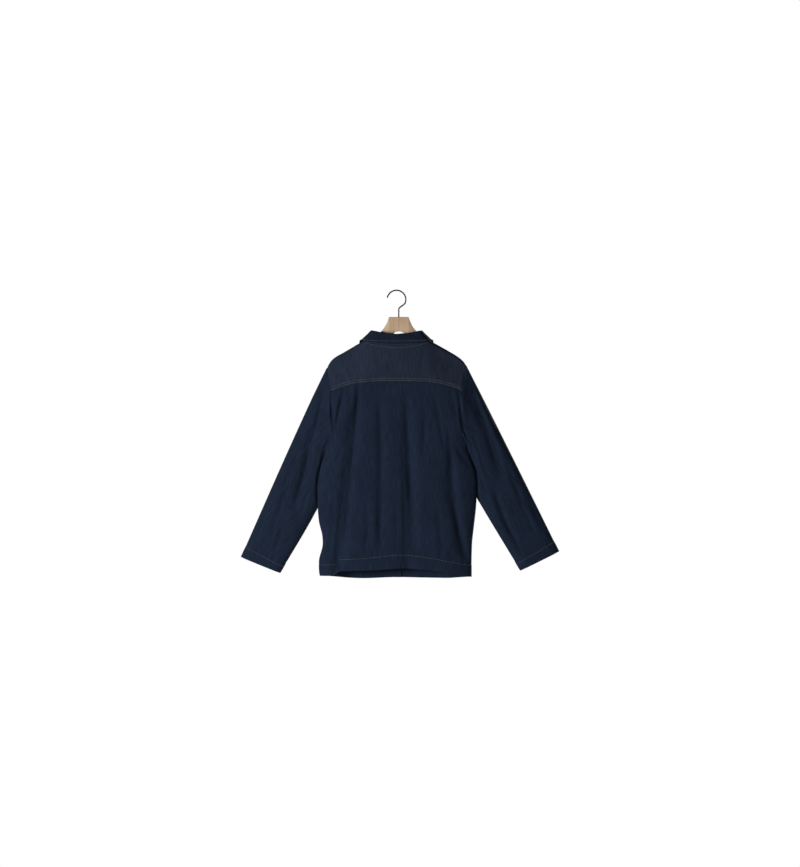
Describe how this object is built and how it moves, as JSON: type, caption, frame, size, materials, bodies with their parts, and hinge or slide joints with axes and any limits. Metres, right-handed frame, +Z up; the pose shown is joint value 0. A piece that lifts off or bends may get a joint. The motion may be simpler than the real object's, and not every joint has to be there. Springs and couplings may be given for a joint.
{
  "type": "denim jacket on a hanger",
  "caption": "Dark raw denim overshirt jacket with a turned-down collar, back yoke and long straight sleeves, hanging on a flat wooden hanger with a bent wire hook.",
  "frame": {"origin": "inner top of the hook, where a rail carries the hanger", "axes": "+Z up, +X towards the wearer's left sleeve, +Y out of the jacket's back"},
  "size_m": [0.9252, 0.085, 0.8385],
  "materials": {
    "denim": "raw indigo twill, matt",
    "yoke_denim": "raw indigo twill, matt, slightly greyer",
    "button_metal": "aged satin",
    "beech": "plain sanded wood",
    "steel_wire": "dark satin wire"
  },
  "bodies": {
    "root": {"back_panel": "denim", "back_yoke": "yoke_denim", "front_left": "denim", "front_right": "denim", "sleeve_left": "denim", "sleeve_right": "denim", "collar_stand": "denim", "collar_fall": "denim", "button_1": "button_metal", "button_2": "button_metal", "button_3": "button_metal", "button_4": "button_metal", "button_5": "button_metal", "hanger_wood": "beech", "hanger_hook": "steel_wire"}
  },
  "joints": []
}
